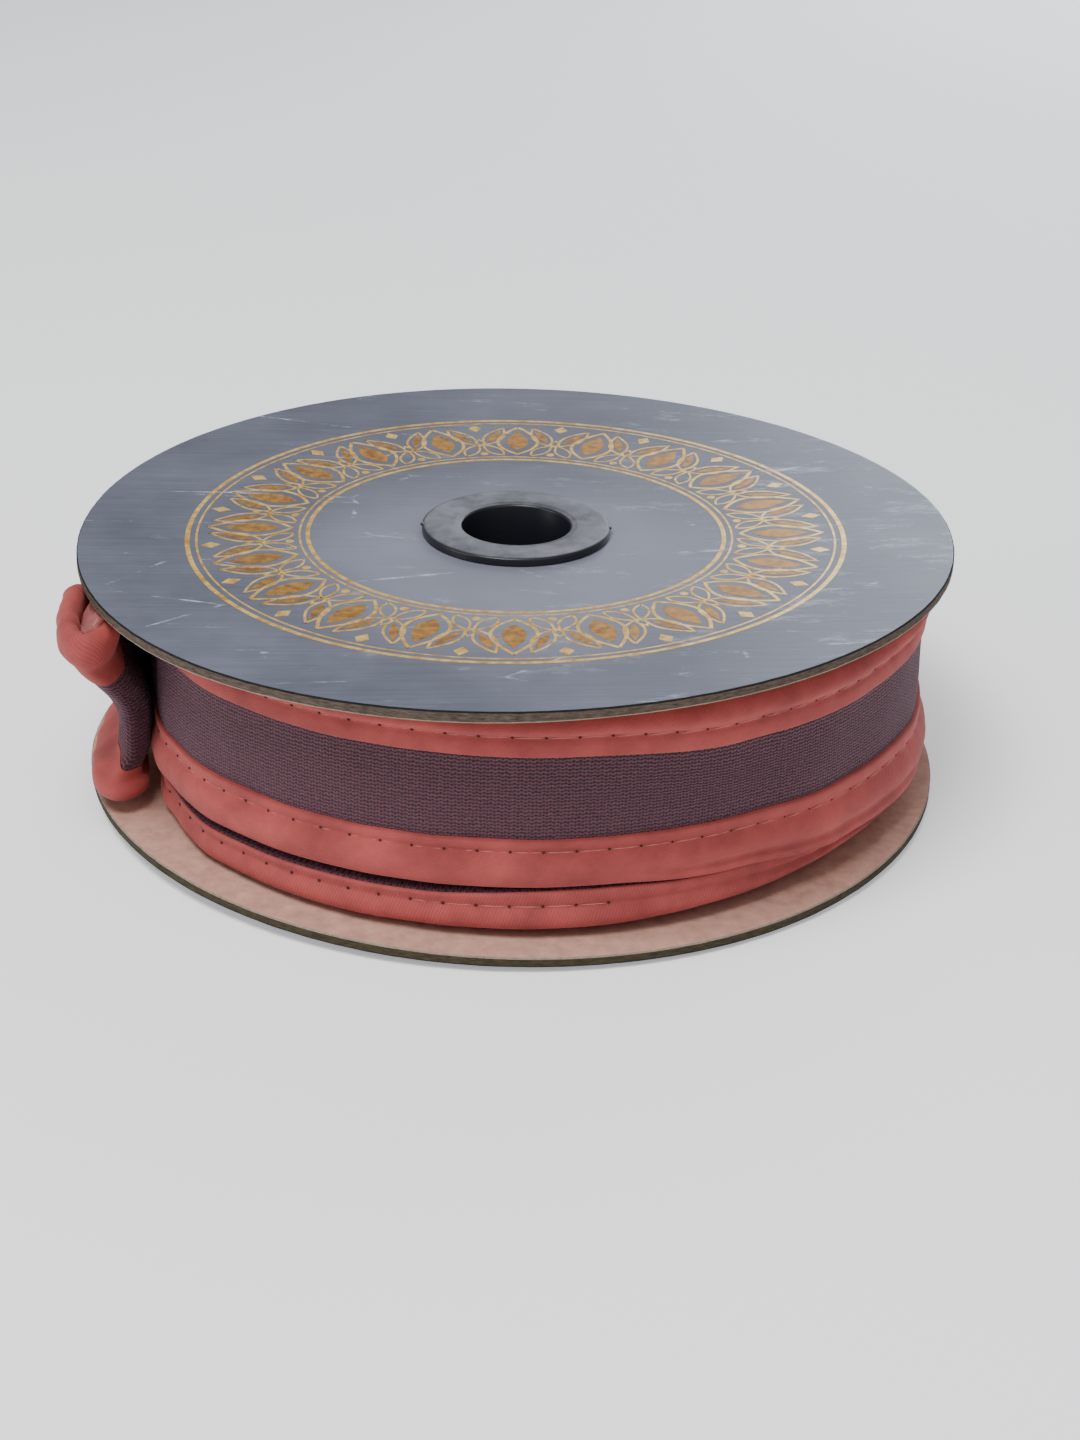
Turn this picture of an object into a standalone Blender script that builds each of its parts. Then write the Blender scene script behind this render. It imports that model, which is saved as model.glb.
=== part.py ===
"""A reel of double piping trim: two round boards on a moulded hub, the wound trim, and its folded loose end.

The origin is at the centre of the reel's underside, +Z is up, and the loose end is at the left, -X.
A bearing is an angle round the reel in degrees from the front, -Y, and grows towards the right, +X.
"""

import math

import bmesh
import bpy
from mathutils import Vector

MM = 0.001

# Reel boards
BOARD_RADIUS = 101.6 * MM
LOWER_BOARD_RADIUS = 101.0 * MM
BOARD_HOLE = 15.0 * MM
BOARD_THICKNESS = 2.2 * MM
EDGE_ROUND = 0.3 * MM
LOWER_BOARD_Z = 2.1 * MM
UPPER_BOARD_Z = 57.0 * MM
BOARD_RINGS = (52.0 * MM, 80.0 * MM)
BOARD_STEPS = 80
WARP_POWER = 1.5

# Hub
COLLAR_RADIUS = 22.0 * MM
COLLAR_HEIGHT = 1.8 * MM
BORE_RADIUS = 12.7 * MM
BORE_CHAMFER = 0.5 * MM
SLEEVE_RADIUS = 14.6 * MM
SLEEVE_GAP = 0.6 * MM
HUB_STEPS = 40
PIECE_GAP = 0.3 * MM

# Wound trim
ROLL_BORE = 15.2 * MM
ROLL_FLOOR = 5.4 * MM
ROLL_CROWN = 55.9 * MM
ROLL_STEPS = 96
UPPER_STITCH_RISE = 4.5 * MM

# Loose end
TAPE_HALF = 0.6 * MM
LIP_HALF = 0.9 * MM
LOWER_CORD_HALF = 2.3 * MM
UPPER_CORD_HALF = 2.5 * MM
TAPE_STEPS = 6
TAIL_STEPS_PER_ROW = 3

UPPER_BOARD_TOP = UPPER_BOARD_Z + BOARD_THICKNESS
REEL_HEIGHT = UPPER_BOARD_TOP + PIECE_GAP + COLLAR_HEIGHT

# How the outer turn lies at each bearing, in mm: the net's radius, the net's upper and lower
# edges, the feet of the outer turn's lower piping and of the second turn's, and how far each of
# these two pipings swells beyond the net.
WINDING = (
    # bearing, net_radius, upper_edge, lower_edge, first_foot, second_foot, swell, second_swell
    (-90, 84.8, 46.0, 26.5, 15.2, 7.6, 1.6, -1.0),
    (-74, 86.2, 46.0, 26.5, 15.0, 7.2, 1.6, -0.6),
    (-60, 88.8, 46.0, 26.5, 14.8, 6.2, 2.1, 0.8),
    (-45, 90.3, 46.0, 26.5, 14.8, 5.5, 2.7, 2.4),
    (-20, 91.2, 46.0, 26.5, 15.1, 5.3, 2.7, 2.5),
    (10, 91.6, 45.7, 26.5, 15.2, 5.3, 2.7, 2.4),
    (30, 92.1, 44.1, 26.5, 14.0, 6.2, 2.7, 1.2),
    (50, 94.2, 44.6, 26.4, 11.7, 7.8, 2.7, -0.6),
    (75, 96.1, 46.0, 26.3, 10.0, 7.9, 2.7, -1.2),
    (110, 95.2, 46.3, 26.4, 11.5, 7.4, 2.7, -0.6),
    (150, 93.0, 46.4, 26.5, 14.5, 6.4, 2.6, 1.2),
    (190, 89.8, 46.3, 26.5, 15.4, 6.2, 2.4, 1.6),
    (230, 86.6, 46.1, 26.5, 15.6, 7.0, 2.0, 0.6),
)

# The loose end's middle line seen from above, at the height of its lower piping, its net and
# its upper piping, and the heights of the lower lip, the upper lip and the upper crown. The end
# starts against the roll, turns at the front and runs back outside, where both lips lift.
TAIL_LINE = (
    # lower_x, lower_y, net_x, net_y, upper_x, upper_y, lower_lip, upper_lip, upper_crown
    (-88.9, -13.0, -87.3, -12.0, -91.6, -12.0, 17.0, 44.4, 54.6),
    (-87.4, -24.0, -85.8, -22.0, -92.2, -24.0, 16.4, 44.0, 54.6),
    (-85.9, -32.0, -84.2, -31.0, -91.4, -35.0, 15.8, 43.4, 54.6),
    (-85.6, -38.8, -83.9, -37.4, -90.5, -44.6, 15.6, 41.8, 54.4),
    (-89.2, -42.4, -86.1, -40.8, -93.0, -51.6, 16.4, 39.8, 54.0),
    (-93.0, -39.2, -88.6, -38.0, -97.0, -48.8, 20.5, 41.0, 54.2),
    (-94.3, -31.4, -89.2, -30.2, -98.5, -41.4, 22.6, 43.0, 55.0),
    (-94.8, -22.0, -89.8, -21.0, -98.8, -33.8, 23.0, 44.2, 55.8),
    (-94.8, -13.0, -90.4, -12.0, -98.4, -28.0, 23.0, 44.8, 55.6),
)
LOWER_LINE_Z = 14.0 * MM
NET_LINE_LOW_Z = 20.0 * MM
NET_LINE_HIGH_Z = 28.0 * MM
UPPER_LINE_Z = 49.0 * MM

# The far side of the loose end's lower piping, and a piping's section from there to its lip.
TAIL_LOWER_FOOT = 8.8 * MM
PIPING_SHAPE = (
    # share_of_width_from_the_cord's_side, share_of_cord_half_thickness
    (0.00, 0.30),
    (0.07, 0.72),
    (0.24, 1.00),
    (0.44, 0.94),
    (0.60, 0.62),
)
LIP_START = 0.70


def smooth(share):
    """A share from 0 to 1, eased at both ends."""
    return share * share * (3 - 2 * share)


def winding_at(bearing):
    """The winding's sizes in metres at a bearing, read smoothly between the table's rows."""
    turned = (bearing + 90) % 360 - 90
    rows = WINDING + ((WINDING[0][0] + 360,) + WINDING[0][1:],)
    for row, after in zip(rows, rows[1:]):
        if row[0] <= turned <= after[0]:
            share = smooth((turned - row[0]) / (after[0] - row[0]))
            return [(a + (b - a) * share) * MM for a, b in zip(row[1:], after[1:])]
    raise ValueError("no row holds this bearing")


def roll_section(bearing):
    """The wound trim's closed outline at a bearing, as (radius, height), bottom to top."""
    net, upper, lower, first, second, swell, under = winding_at(bearing)
    rows = []
    # (share of the height between the two feet, reach beyond the net)
    for share, reach in (
        (0.00, -3.2 * MM),
        (0.06, under - 1.6 * MM),
        (0.22, under - 0.2 * MM),
        (0.45, under),
        (0.66, under - 0.8 * MM),
        (0.80, min(under - 0.6 * MM, -0.9 * MM)),
        (0.95, min(under - 0.6 * MM, -1.3 * MM)),
    ):
        rows.append((net + reach, second + share * (first - second)))
    # (share of the outer turn's piping height, share of its swell)
    for share, reach in (
        (0.00, -0.10),
        (0.05, 0.45),
        (0.20, 0.88),
        (0.40, 1.00),
        (0.60, 0.76),
        (0.75, 0.28),
        (0.97, 0.24),
        (1.00, 0.02),
    ):
        rows.append((net + reach * swell, first + share * (lower - first)))
    stitch = upper + UPPER_STITCH_RISE
    rows.append((net, upper))
    rows.append((net + 0.6 * MM, upper + 0.3 * MM))
    rows.append((net + 0.7 * MM, stitch))
    # (share of the height from the upper stitches to the crown, reach beyond the net)
    for share, reach in ((0.25, 1.7 * MM), (0.55, 1.4 * MM), (0.85, -0.8 * MM), (1.0, -3.6 * MM)):
        rows.append((net + reach, stitch + share * (ROLL_CROWN - stitch)))
    rows.append((ROLL_BORE, ROLL_CROWN))
    rows.append((ROLL_BORE, ROLL_FLOOR))
    return rows


def board_warp(radius, angle, dish, tilt, twist, twist_angle):
    """How far a board's surface stands off its plane, growing from the collar to the rim.

    The angles are round Z from +X.
    """
    share = max(0.0, radius - COLLAR_RADIUS) / (BOARD_RADIUS - COLLAR_RADIUS)
    rim = dish + tilt * math.cos(angle) + twist * math.cos(2 * (angle - twist_angle))
    return rim * share ** WARP_POWER


def plain_material(name, colour, roughness, metallic=0.0):
    """A material of one colour, its RGB values linear."""
    material = bpy.data.materials.new(name)
    material.use_nodes = True
    shader = material.node_tree.nodes["Principled BSDF"]
    shader.inputs["Base Color"].default_value = (*colour, 1.0)
    shader.inputs["Roughness"].default_value = roughness
    shader.inputs["Metallic"].default_value = metallic
    return material


def finish(name, bm, material):
    """Makes the bmesh an object with smooth faces and sharp corners."""
    bmesh.ops.recalc_face_normals(bm, faces=bm.faces)
    mesh = bpy.data.meshes.new(name)
    bm.to_mesh(mesh)
    bm.free()
    mesh.shade_smooth()
    mesh.set_sharp_from_angle(angle=math.radians(35))
    mesh.materials.append(material)
    made = bpy.data.objects.new(name, mesh)
    bpy.context.collection.objects.link(made)
    return made


def closed_loop(bm, points):
    """Vertices and edges of a closed outline. Each vertex keeps its place in the outline."""
    place = bm.verts.layers.int.get("place") or bm.verts.layers.int.new("place")
    verts = [bm.verts.new(point) for point in points]
    for index, vert in enumerate(verts):
        vert[place] = index
    edges = [bm.edges.new((a, b)) for a, b in zip(verts, verts[1:] + verts[:1])]
    return verts, edges, place


def spun(outline, steps):
    """A closed outline of (radius, height) turned once round Z."""
    bm = bmesh.new()
    verts, edges, place = closed_loop(bm, [(radius, 0, height) for radius, height in outline])
    bmesh.ops.spin(
        bm,
        geom=verts + edges,
        cent=(0, 0, 0),
        axis=(0, 0, 1),
        angle=math.tau,
        steps=steps,
        use_merge=True,
    )
    return bm, place


def make_board(name, rim, base_z, warp, material):
    """A round board with a hole, its edges eased, dished and warped as the warp says."""
    top_z = base_z + BOARD_THICKNESS
    across = [BOARD_HOLE, COLLAR_RADIUS, *BOARD_RINGS, rim - EDGE_ROUND]
    outline = [(radius, base_z) for radius in across]
    outline += [(rim, base_z + EDGE_ROUND), (rim, top_z - EDGE_ROUND)]
    outline += [(radius, top_z) for radius in reversed(across)]
    bm, _ = spun(outline, BOARD_STEPS)
    for vert in bm.verts:
        radius = math.hypot(vert.co.x, vert.co.y)
        vert.co.z += board_warp(radius, math.atan2(vert.co.y, vert.co.x), *warp)
    return finish(name, bm, material)


def make_hub_half(name, outer_z, inner_z, material):
    """A flat collar at outer_z, with a sleeve that runs through the board to inner_z."""
    inward = 1 if inner_z > outer_z else -1
    under_z = outer_z + inward * COLLAR_HEIGHT
    eased = inward * EDGE_ROUND
    outline = [
        (BORE_RADIUS, inner_z),
        (BORE_RADIUS, outer_z + inward * BORE_CHAMFER),
        (BORE_RADIUS + BORE_CHAMFER, outer_z),
        (COLLAR_RADIUS - EDGE_ROUND, outer_z),
        (COLLAR_RADIUS, outer_z + eased),
        (COLLAR_RADIUS, under_z),
        (SLEEVE_RADIUS, under_z),
        (SLEEVE_RADIUS, inner_z),
    ]
    bm, _ = spun(outline, HUB_STEPS)
    return finish(name, bm, material)


def make_roll(name, material):
    """The wound trim: one outline turned round the hub, then set to the winding at each bearing."""
    bm, place = spun(roll_section(90), ROLL_STEPS)
    for vert in bm.verts:
        around = math.atan2(vert.co.y, vert.co.x)
        radius, height = roll_section(math.degrees(around) + 90)[vert[place]]
        vert.co = (radius * math.cos(around), radius * math.sin(around), height)
    return finish(name, bm, material)


def tail_rows():
    """The loose end's stations, the table's rows joined by a smooth curve through them."""
    padded = (TAIL_LINE[0],) + TAIL_LINE + (TAIL_LINE[-1],)
    stations = []
    for before, here, there, after in zip(padded, padded[1:], padded[2:], padded[3:]):
        for step in range(TAIL_STEPS_PER_ROW):
            t = step / TAIL_STEPS_PER_ROW
            stations.append([
                MM * 0.5 * (2 * b + (c - a) * t + (2 * a - 5 * b + 4 * c - d) * t * t
                            + (3 * b - a - 3 * c + d) * t ** 3)
                for a, b, c, d in zip(before, here, there, after)
            ])
    stations.append([value * MM for value in TAIL_LINE[-1]])
    return stations


def tail_point(station, height):
    """Where the loose end's middle line stands at a height, between the table's three lines."""
    lower = Vector(station[0:2])
    net = Vector(station[2:4])
    upper = Vector(station[4:6])
    if height < NET_LINE_LOW_Z:
        share = (height - LOWER_LINE_Z) / (NET_LINE_LOW_Z - LOWER_LINE_Z)
        return lower.lerp(net, smooth(min(1.0, max(0.0, share))))
    share = (height - NET_LINE_HIGH_Z) / (UPPER_LINE_Z - NET_LINE_HIGH_Z)
    return net.lerp(upper, smooth(min(1.0, max(0.0, share))))


def make_tail_piece(name, shape_at, material):
    """A strip of the loose end. shape_at gives a station's (height, half thickness) up one side."""
    stations = tail_rows()
    rings = []
    for index, station in enumerate(stations):
        before = stations[max(0, index - 1)]
        after = stations[min(len(stations) - 1, index + 1)]
        sides = ([], [])
        for height, half in shape_at(station):
            middle = tail_point(station, height)
            along = (tail_point(after, height) - tail_point(before, height)).normalized()
            across = Vector((-along.y, along.x)) * half
            sides[0].append((*(middle + across), height))
            sides[1].append((*(middle - across), height))
        rings.append(sides[0] + sides[1][::-1])
    bm = bmesh.new()
    verts, edges, place = closed_loop(bm, rings[0])
    bm.faces.new(verts)
    for ring in rings[1:]:
        grown = bmesh.ops.extrude_edge_only(bm, edges=edges)["geom"]
        edges = [item for item in grown if isinstance(item, bmesh.types.BMEdge)]
        verts = [item for item in grown if isinstance(item, bmesh.types.BMVert)]
        for vert in verts:
            vert.co = ring[vert[place]]
        edges = [edge for edge in edges if edge.verts[0] in verts and edge.verts[1] in verts]
    bm.faces.new(sorted(verts, key=lambda vert: vert[place]))
    return finish(name, bm, material)


def piping_shape(cord_z, lip_z, cord_half):
    """The side of a piping from the cord's far side to the lip's edge, lowest point first."""
    shape = [(cord_z + share * (lip_z - cord_z), half * cord_half) for share, half in PIPING_SHAPE]
    shape.append((cord_z + LIP_START * (lip_z - cord_z), LIP_HALF))
    shape.append((lip_z, LIP_HALF))
    return sorted(shape)


def lower_piping_at(station):
    """The lower piping's side at a station, between its foot and its lip."""
    return piping_shape(TAIL_LOWER_FOOT, station[6], LOWER_CORD_HALF)


def upper_piping_at(station):
    """The upper piping's side at a station, between its lip and its crown."""
    lip_z, crown_z = station[7:9]
    return piping_shape(crown_z, lip_z, UPPER_CORD_HALF)


def tape_at(station):
    """The net's side at a station, in even steps between the two lips."""
    low = station[6] + PIECE_GAP
    rise = (station[7] - PIECE_GAP - low) / TAPE_STEPS
    return [(low + rise * step, TAPE_HALF) for step in range(TAPE_STEPS + 1)]


def main():
    for old in list(bpy.data.objects):
        bpy.data.objects.remove(old, do_unlink=True)

    slate = plain_material("slate_board", (0.20, 0.21, 0.26), 0.45)
    greyboard = plain_material("grey_board", (0.42, 0.29, 0.24), 0.80)
    black = plain_material("moulded_black", (0.03, 0.03, 0.04), 0.40)
    trim = plain_material("wound_trim", (0.38, 0.09, 0.08), 0.85)
    net = plain_material("net_tape", (0.12, 0.05, 0.07), 0.90)
    coral = plain_material("coral_piping", (0.42, 0.10, 0.09), 0.85)

    upper_warp = (1.3 * MM, 1.5 * MM, -0.85 * MM, math.radians(38))
    lower_warp = (0.0, -0.5 * MM, 0.8 * MM, math.radians(20))
    make_board("board_lower", LOWER_BOARD_RADIUS, LOWER_BOARD_Z, lower_warp, greyboard)
    make_board("board_upper", BOARD_RADIUS, UPPER_BOARD_Z, upper_warp, slate)

    middle = REEL_HEIGHT / 2
    make_hub_half("hub_lower", 0.0, middle - SLEEVE_GAP / 2, black)
    make_hub_half("hub_upper", REEL_HEIGHT, middle + SLEEVE_GAP / 2, black)

    make_roll("wound_trim", trim)
    make_tail_piece("tail_tape", tape_at, net)
    make_tail_piece("tail_piping_lower", lower_piping_at, coral)
    make_tail_piece("tail_piping_upper", upper_piping_at, coral)


main()
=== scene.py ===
# %% [markdown]
# # A reel of double piping trim
# Two round boards on a black moulded hub hold many turns of a dark net tape, edged above and
# below with coral piping. The frame holds the reel's solids, and this lesson dresses them:
# finer boards and hub, a gold ring ornament, the winding with its threads, the folded loose
# end, then the floor, the lights and the camera.

# %% The frame
import math

import bmesh
import bpy
from mathutils import Matrix, Vector, noise


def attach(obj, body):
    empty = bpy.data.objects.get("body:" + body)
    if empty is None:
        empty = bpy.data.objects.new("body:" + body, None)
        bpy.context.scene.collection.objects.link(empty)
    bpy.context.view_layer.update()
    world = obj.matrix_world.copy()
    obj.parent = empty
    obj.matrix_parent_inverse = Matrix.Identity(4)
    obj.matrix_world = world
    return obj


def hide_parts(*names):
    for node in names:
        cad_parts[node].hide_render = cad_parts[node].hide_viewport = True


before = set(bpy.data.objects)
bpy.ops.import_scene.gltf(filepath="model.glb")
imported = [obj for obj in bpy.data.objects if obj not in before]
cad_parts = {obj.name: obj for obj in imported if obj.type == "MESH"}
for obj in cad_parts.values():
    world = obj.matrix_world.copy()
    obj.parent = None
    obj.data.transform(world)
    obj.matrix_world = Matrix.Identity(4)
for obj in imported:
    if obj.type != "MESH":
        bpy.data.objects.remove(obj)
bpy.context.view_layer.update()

MM = 0.001

# %% [markdown]
# ## Camera
# The photograph looks down on the reel at about 25 degrees from just over half a metre away.
# The camera's three directions were fitted to the rims of the two boards, so they're set as a
# matrix: its columns are the camera's right, its up, and the way back from the reel.

# %% The camera
camera_data = bpy.data.cameras.new("photo_camera")
camera_data.lens = 65
camera_data.sensor_width = 36
camera_data.clip_start = 0.05
camera = bpy.data.objects.new("photo_camera", camera_data)
bpy.context.collection.objects.link(camera)
camera.matrix_world = Matrix((
    (0.9998, -0.0180, -0.0105, 0.0),
    (-0.0017, 0.4319, -0.9019, -0.56817),
    (0.0208, 0.9017, 0.4318, 0.28246),
    (0.0, 0.0, 0.0, 1.0),
))
bpy.context.scene.camera = camera
print("camera is", round(camera.location.length, 3), "m from the reel's foot")

# %% [markdown]
# ## Small helpers
# Colours are written as they look on a screen and turned into the linear light that Blender
# works in. One helper adds a node and fills or links its sockets. Another makes a bmesh into a
# finished piece that rides on the reel.

# %% Colours, nodes and pieces
def colour(hex_code):
    """Linear RGBA of a screen colour such as 7a7c8a."""
    shares = [int(hex_code[i:i + 2], 16) / 255 for i in (0, 2, 4)]
    linear = [s / 12.92 if s <= 0.04045 else ((s + 0.055) / 1.055) ** 2.4 for s in shares]
    return (*linear, 1.0)


def add(tree, kind, settings=None, sockets=None):
    """Adds a node, sets its settings, and fills its sockets with values or links."""
    made = tree.nodes.new(kind)
    for key, value in (settings or {}).items():
        setattr(made, key, value)
    for key, value in (sockets or {}).items():
        if isinstance(value, bpy.types.NodeSocket):
            tree.links.new(value, made.inputs[key])
        else:
            made.inputs[key].default_value = value
    return made


def new_material(name, **values):
    """A material with a Principled shader, its sockets set by name."""
    material = bpy.data.materials.new(name)
    material.use_nodes = True
    shader = material.node_tree.nodes["Principled BSDF"]
    for key, value in values.items():
        shader.inputs[key.replace("_", " ")].default_value = value
    return material, material.node_tree, shader


def make_piece(name, bm, materials, nodes=(), sharp=40):
    """Makes a bmesh an object that rides on the reel and stands for the CAD nodes named."""
    mesh = bpy.data.meshes.new(name)
    bm.to_mesh(mesh)
    bm.free()
    mesh.shade_smooth()
    mesh.set_sharp_from_angle(angle=math.radians(sharp))
    for material in materials:
        mesh.materials.append(material)
    piece = bpy.data.objects.new(name, mesh)
    bpy.context.collection.objects.link(piece)
    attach(piece, "root")
    if nodes:
        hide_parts(*nodes)
    print(name, "has", len(mesh.polygons), "faces")
    return piece


# %% [markdown]
# ## Slate paper and grey board
# The boards are punched from grey board with a slate paper glued on the outside. The paper has
# fine streaks along one direction, a painted highlight round the hub, pale rubs with more at the
# right as a painted reflection, and thin scratches. The cut side is bare board, darker on the lower
# board, with a dark line where the paper's edge is and a pale one along its other edge.

# %% Helpers for a mottled colour and a relief
def set_tones(ramp, *tones):
    """Sets the two tones of a colour ramp, each as (share, screen colour)."""
    for element, (share, hex_code) in zip(ramp.color_ramp.elements, tones):
        element.position = share
        element.color = colour(hex_code)


def finish_surface(tree, shader, tint, height, strength, distance):
    """Links a material's colour, and a relief that the light catches."""
    tree.links.new(tint.outputs[0], shader.inputs["Base Color"])
    bump = add(tree, "ShaderNodeBump", None, {"Strength": strength, "Distance": distance, "Height": height})
    tree.links.new(bump.outputs[0], shader.inputs["Normal"])


# %% Board finishes
def slate_paper():
    """Slate blue paper with streaks, rubs, scratches, a painted highlight round the hub and a painted
    reflection at the right, read in Object coordinates.
    """
    material, tree, shader = new_material("slate_paper", IOR=1.48)
    place = add(tree, "ShaderNodeTexCoord").outputs["Object"]
    # Fine streaks of the paper's grain, across the reel.
    grain_place = add(tree, "ShaderNodeMapping", None, {"Vector": place, "Scale": (28, 1100, 1)})
    grain = add(tree, "ShaderNodeTexNoise", None,
                {"Vector": grain_place.outputs[0], "Scale": 1.0, "Detail": 4.0, "Roughness": 0.65})
    clouds = add(tree, "ShaderNodeTexNoise", None,
                 {"Vector": place, "Scale": 24.0, "Detail": 5.0, "Roughness": 0.62})
    tint = add(tree, "ShaderNodeValToRGB", None, {"Fac": clouds.outputs[0]})
    set_tones(tint, (0.33, "494c58"), (0.68, "5f6270"))
    grained = add(tree, "ShaderNodeMixRGB", {"blend_type": "OVERLAY"},
                  {"Fac": 0.38, "Color1": tint.outputs[0], "Color2": grain.outputs[0]})
    # Painted highlight: the paper is paler round the hub, mostly on its front side, where the dished board
    # catches the light.
    nearer = add(tree, "ShaderNodeVectorMath", {"operation": "ADD"}, {0: place, 1: (0.0, 0.016, -0.059)})
    reach = add(tree, "ShaderNodeVectorMath", {"operation": "LENGTH"}, {0: nearer.outputs[0]})
    halo = add(tree, "ShaderNodeMapRange", {"interpolation_type": "SMOOTHSTEP"},
               {"Value": reach.outputs["Value"], "From Min": 0.070, "From Max": 0.022, "To Max": 0.42})
    hub_highlight = add(tree, "ShaderNodeMixRGB", None,
                   {"Fac": halo.outputs[0], "Color1": grained.outputs[0], "Color2": colour("9496a4")})
    # Pale rubs: short flecks, more of them towards the right of the reel, where the extra is a painted
    # reflection.
    rub_place = add(tree, "ShaderNodeMapping", None, {"Vector": place, "Scale": (55, 150, 55)})
    rubs = add(tree, "ShaderNodeTexNoise", None,
               {"Vector": rub_place.outputs[0], "Scale": 1.0, "Detail": 9.0, "Roughness": 0.78})
    side = add(tree, "ShaderNodeSeparateXYZ", None, {0: place})
    right_reflection = add(tree, "ShaderNodeMapRange", None,
               {"Value": side.outputs[0], "From Min": -0.10, "From Max": 0.10,
                "To Min": -0.05, "To Max": 0.05})
    rubs_with_reflection = add(tree, "ShaderNodeMath", {"operation": "ADD"}, {0: rubs.outputs[0], 1: right_reflection.outputs[0]})
    rub_and_reflection_mask = add(tree, "ShaderNodeMapRange", None,
                   {"Value": rubs_with_reflection.outputs[0], "From Min": 0.58, "From Max": 0.74, "To Max": 0.75})
    rubs_and_reflection = add(tree, "ShaderNodeMixRGB", None,
                 {"Fac": rub_and_reflection_mask.outputs[0], "Color1": hub_highlight.outputs[0], "Color2": colour("a3a6b6")})
    # Scratches: thin cell borders, stretched and broken up by the rubs' noise.
    scratch_place = add(tree, "ShaderNodeMapping", None,
                        {"Vector": place, "Rotation": (0, 0, 0.9), "Scale": (16, 38, 1)})
    cells = add(tree, "ShaderNodeTexVoronoi", {"feature": "DISTANCE_TO_EDGE"},
                {"Vector": scratch_place.outputs[0], "Scale": 1.0})
    line = add(tree, "ShaderNodeMapRange", None,
               {"Value": cells.outputs[0], "From Min": 0.010, "From Max": 0.003})
    broken = add(tree, "ShaderNodeMapRange", None,
                 {"Value": rubs.outputs[0], "From Min": 0.53, "From Max": 0.63, "To Max": 0.9})
    scratch = add(tree, "ShaderNodeMath", {"operation": "MULTIPLY"},
                  {0: line.outputs[0], 1: broken.outputs[0]})
    scratched = add(tree, "ShaderNodeMixRGB", None,
                    {"Fac": scratch.outputs[0], "Color1": rubs_and_reflection.outputs[0], "Color2": colour("b9bbc6")})
    sheen = add(tree, "ShaderNodeMapRange", None,
                {"Value": clouds.outputs[0], "From Min": 0.3, "From Max": 0.7,
                 "To Min": 0.33, "To Max": 0.47})
    tree.links.new(sheen.outputs[0], shader.inputs["Roughness"])
    finish_surface(tree, shader, scratched, grain.outputs[0], 0.16, 0.0002)
    return material


def board_fibre(name, dark, light, stretch):
    """Bare board: short fibres of two browns, with a dry matt surface."""
    material, tree, shader = new_material(name, Roughness=0.88, Specular_IOR_Level=0.2)
    place = add(tree, "ShaderNodeTexCoord").outputs["Object"]
    along = add(tree, "ShaderNodeMapping", None, {"Vector": place, "Scale": stretch})
    fibres = add(tree, "ShaderNodeTexNoise", None,
                 {"Vector": along.outputs[0], "Scale": 1.0, "Detail": 5.0, "Roughness": 0.65})
    tint = add(tree, "ShaderNodeValToRGB", None, {"Fac": fibres.outputs[0]})
    set_tones(tint, (0.32, dark), (0.70, light))
    finish_surface(tree, shader, tint, fibres.outputs[0], 0.35, 0.0003)
    return material


paper = slate_paper()
cut_edge = board_fibre("cut_board_edge", "372e27", "62554a", (500, 500, 2600))
bare_board = board_fibre("bare_grey_board", "a88273", "c69b8a", (260, 260, 260))
# The lower board's cut edge is darker than the upper board's.
lower_cut_edge = board_fibre("darkened_board_edge", "2a2519", "4b4333", (500, 500, 2600))
paper_lip = board_fibre("paper_edge", "0f0e12", "231f20", (700, 700, 700))
pale_lip = board_fibre("torn_pale_edge", "7b6d60", "9c8c7e", (900, 900, 900))
print("board finishes:", paper.name, cut_edge.name, bare_board.name)

# %% [markdown]
# ## The boards
# A board is a flat ring turned round the hub, and its surface rises and falls a little, because
# damp and the winding's pull warp it. An outline of the ring's section is spun once round the
# hub, then each vertex is lifted by the warp, the same one that the frame's solids have.

# %% Board sizes and warp
BOARD_RADIUS = 101.6 * MM
LOWER_BOARD_RADIUS = 101.0 * MM
BOARD_HOLE = 15.0 * MM
BOARD_THICKNESS = 2.2 * MM
LOWER_BOARD_Z = 2.1 * MM
UPPER_BOARD_Z = 57.0 * MM
COLLAR_RADIUS = 22.0 * MM
WARP_POWER = 1.5
UPPER_WARP = (1.3 * MM, 1.5 * MM, -0.85 * MM, math.radians(38))
LOWER_WARP = (0.0, -0.5 * MM, 0.8 * MM, math.radians(20))
print("boards", 2 * BOARD_RADIUS / MM, "mm across,", BOARD_THICKNESS / MM, "mm thick")


def board_warp(radius, angle, dish, tilt, twist, twist_angle):
    """How far a board's surface stands off its plane at a radius and an angle from +X."""
    share = max(0.0, radius - COLLAR_RADIUS) / (BOARD_RADIUS - COLLAR_RADIUS)
    rim = dish + tilt * math.cos(angle) + twist * math.cos(2 * (angle - twist_angle))
    return rim * share ** WARP_POWER


def spin_outline(outline, steps):
    """A closed outline of (radius, height) points turned once round the hub's axis."""
    bm = bmesh.new()
    verts = [bm.verts.new((radius, 0, height)) for radius, height in outline]
    edges = [bm.edges.new(pair) for pair in zip(verts, verts[1:] + verts[:1])]
    bmesh.ops.spin(bm, geom=verts + edges, cent=(0, 0, 0), axis=(0, 0, 1), angle=math.tau,
                   steps=steps, use_merge=True)
    bmesh.ops.recalc_face_normals(bm, faces=bm.faces)
    return bm


# %% [markdown]
# ## Rolling up a strip
# A long spin is slow, so the boards and the winding start as one flat grid. Its X runs round the
# reel and its Y runs round the section. Each vertex is moved to the section at its bearing, and
# the grid's sides then meet and are merged, as a strip of cloth is rolled up and sewn shut.

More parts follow.
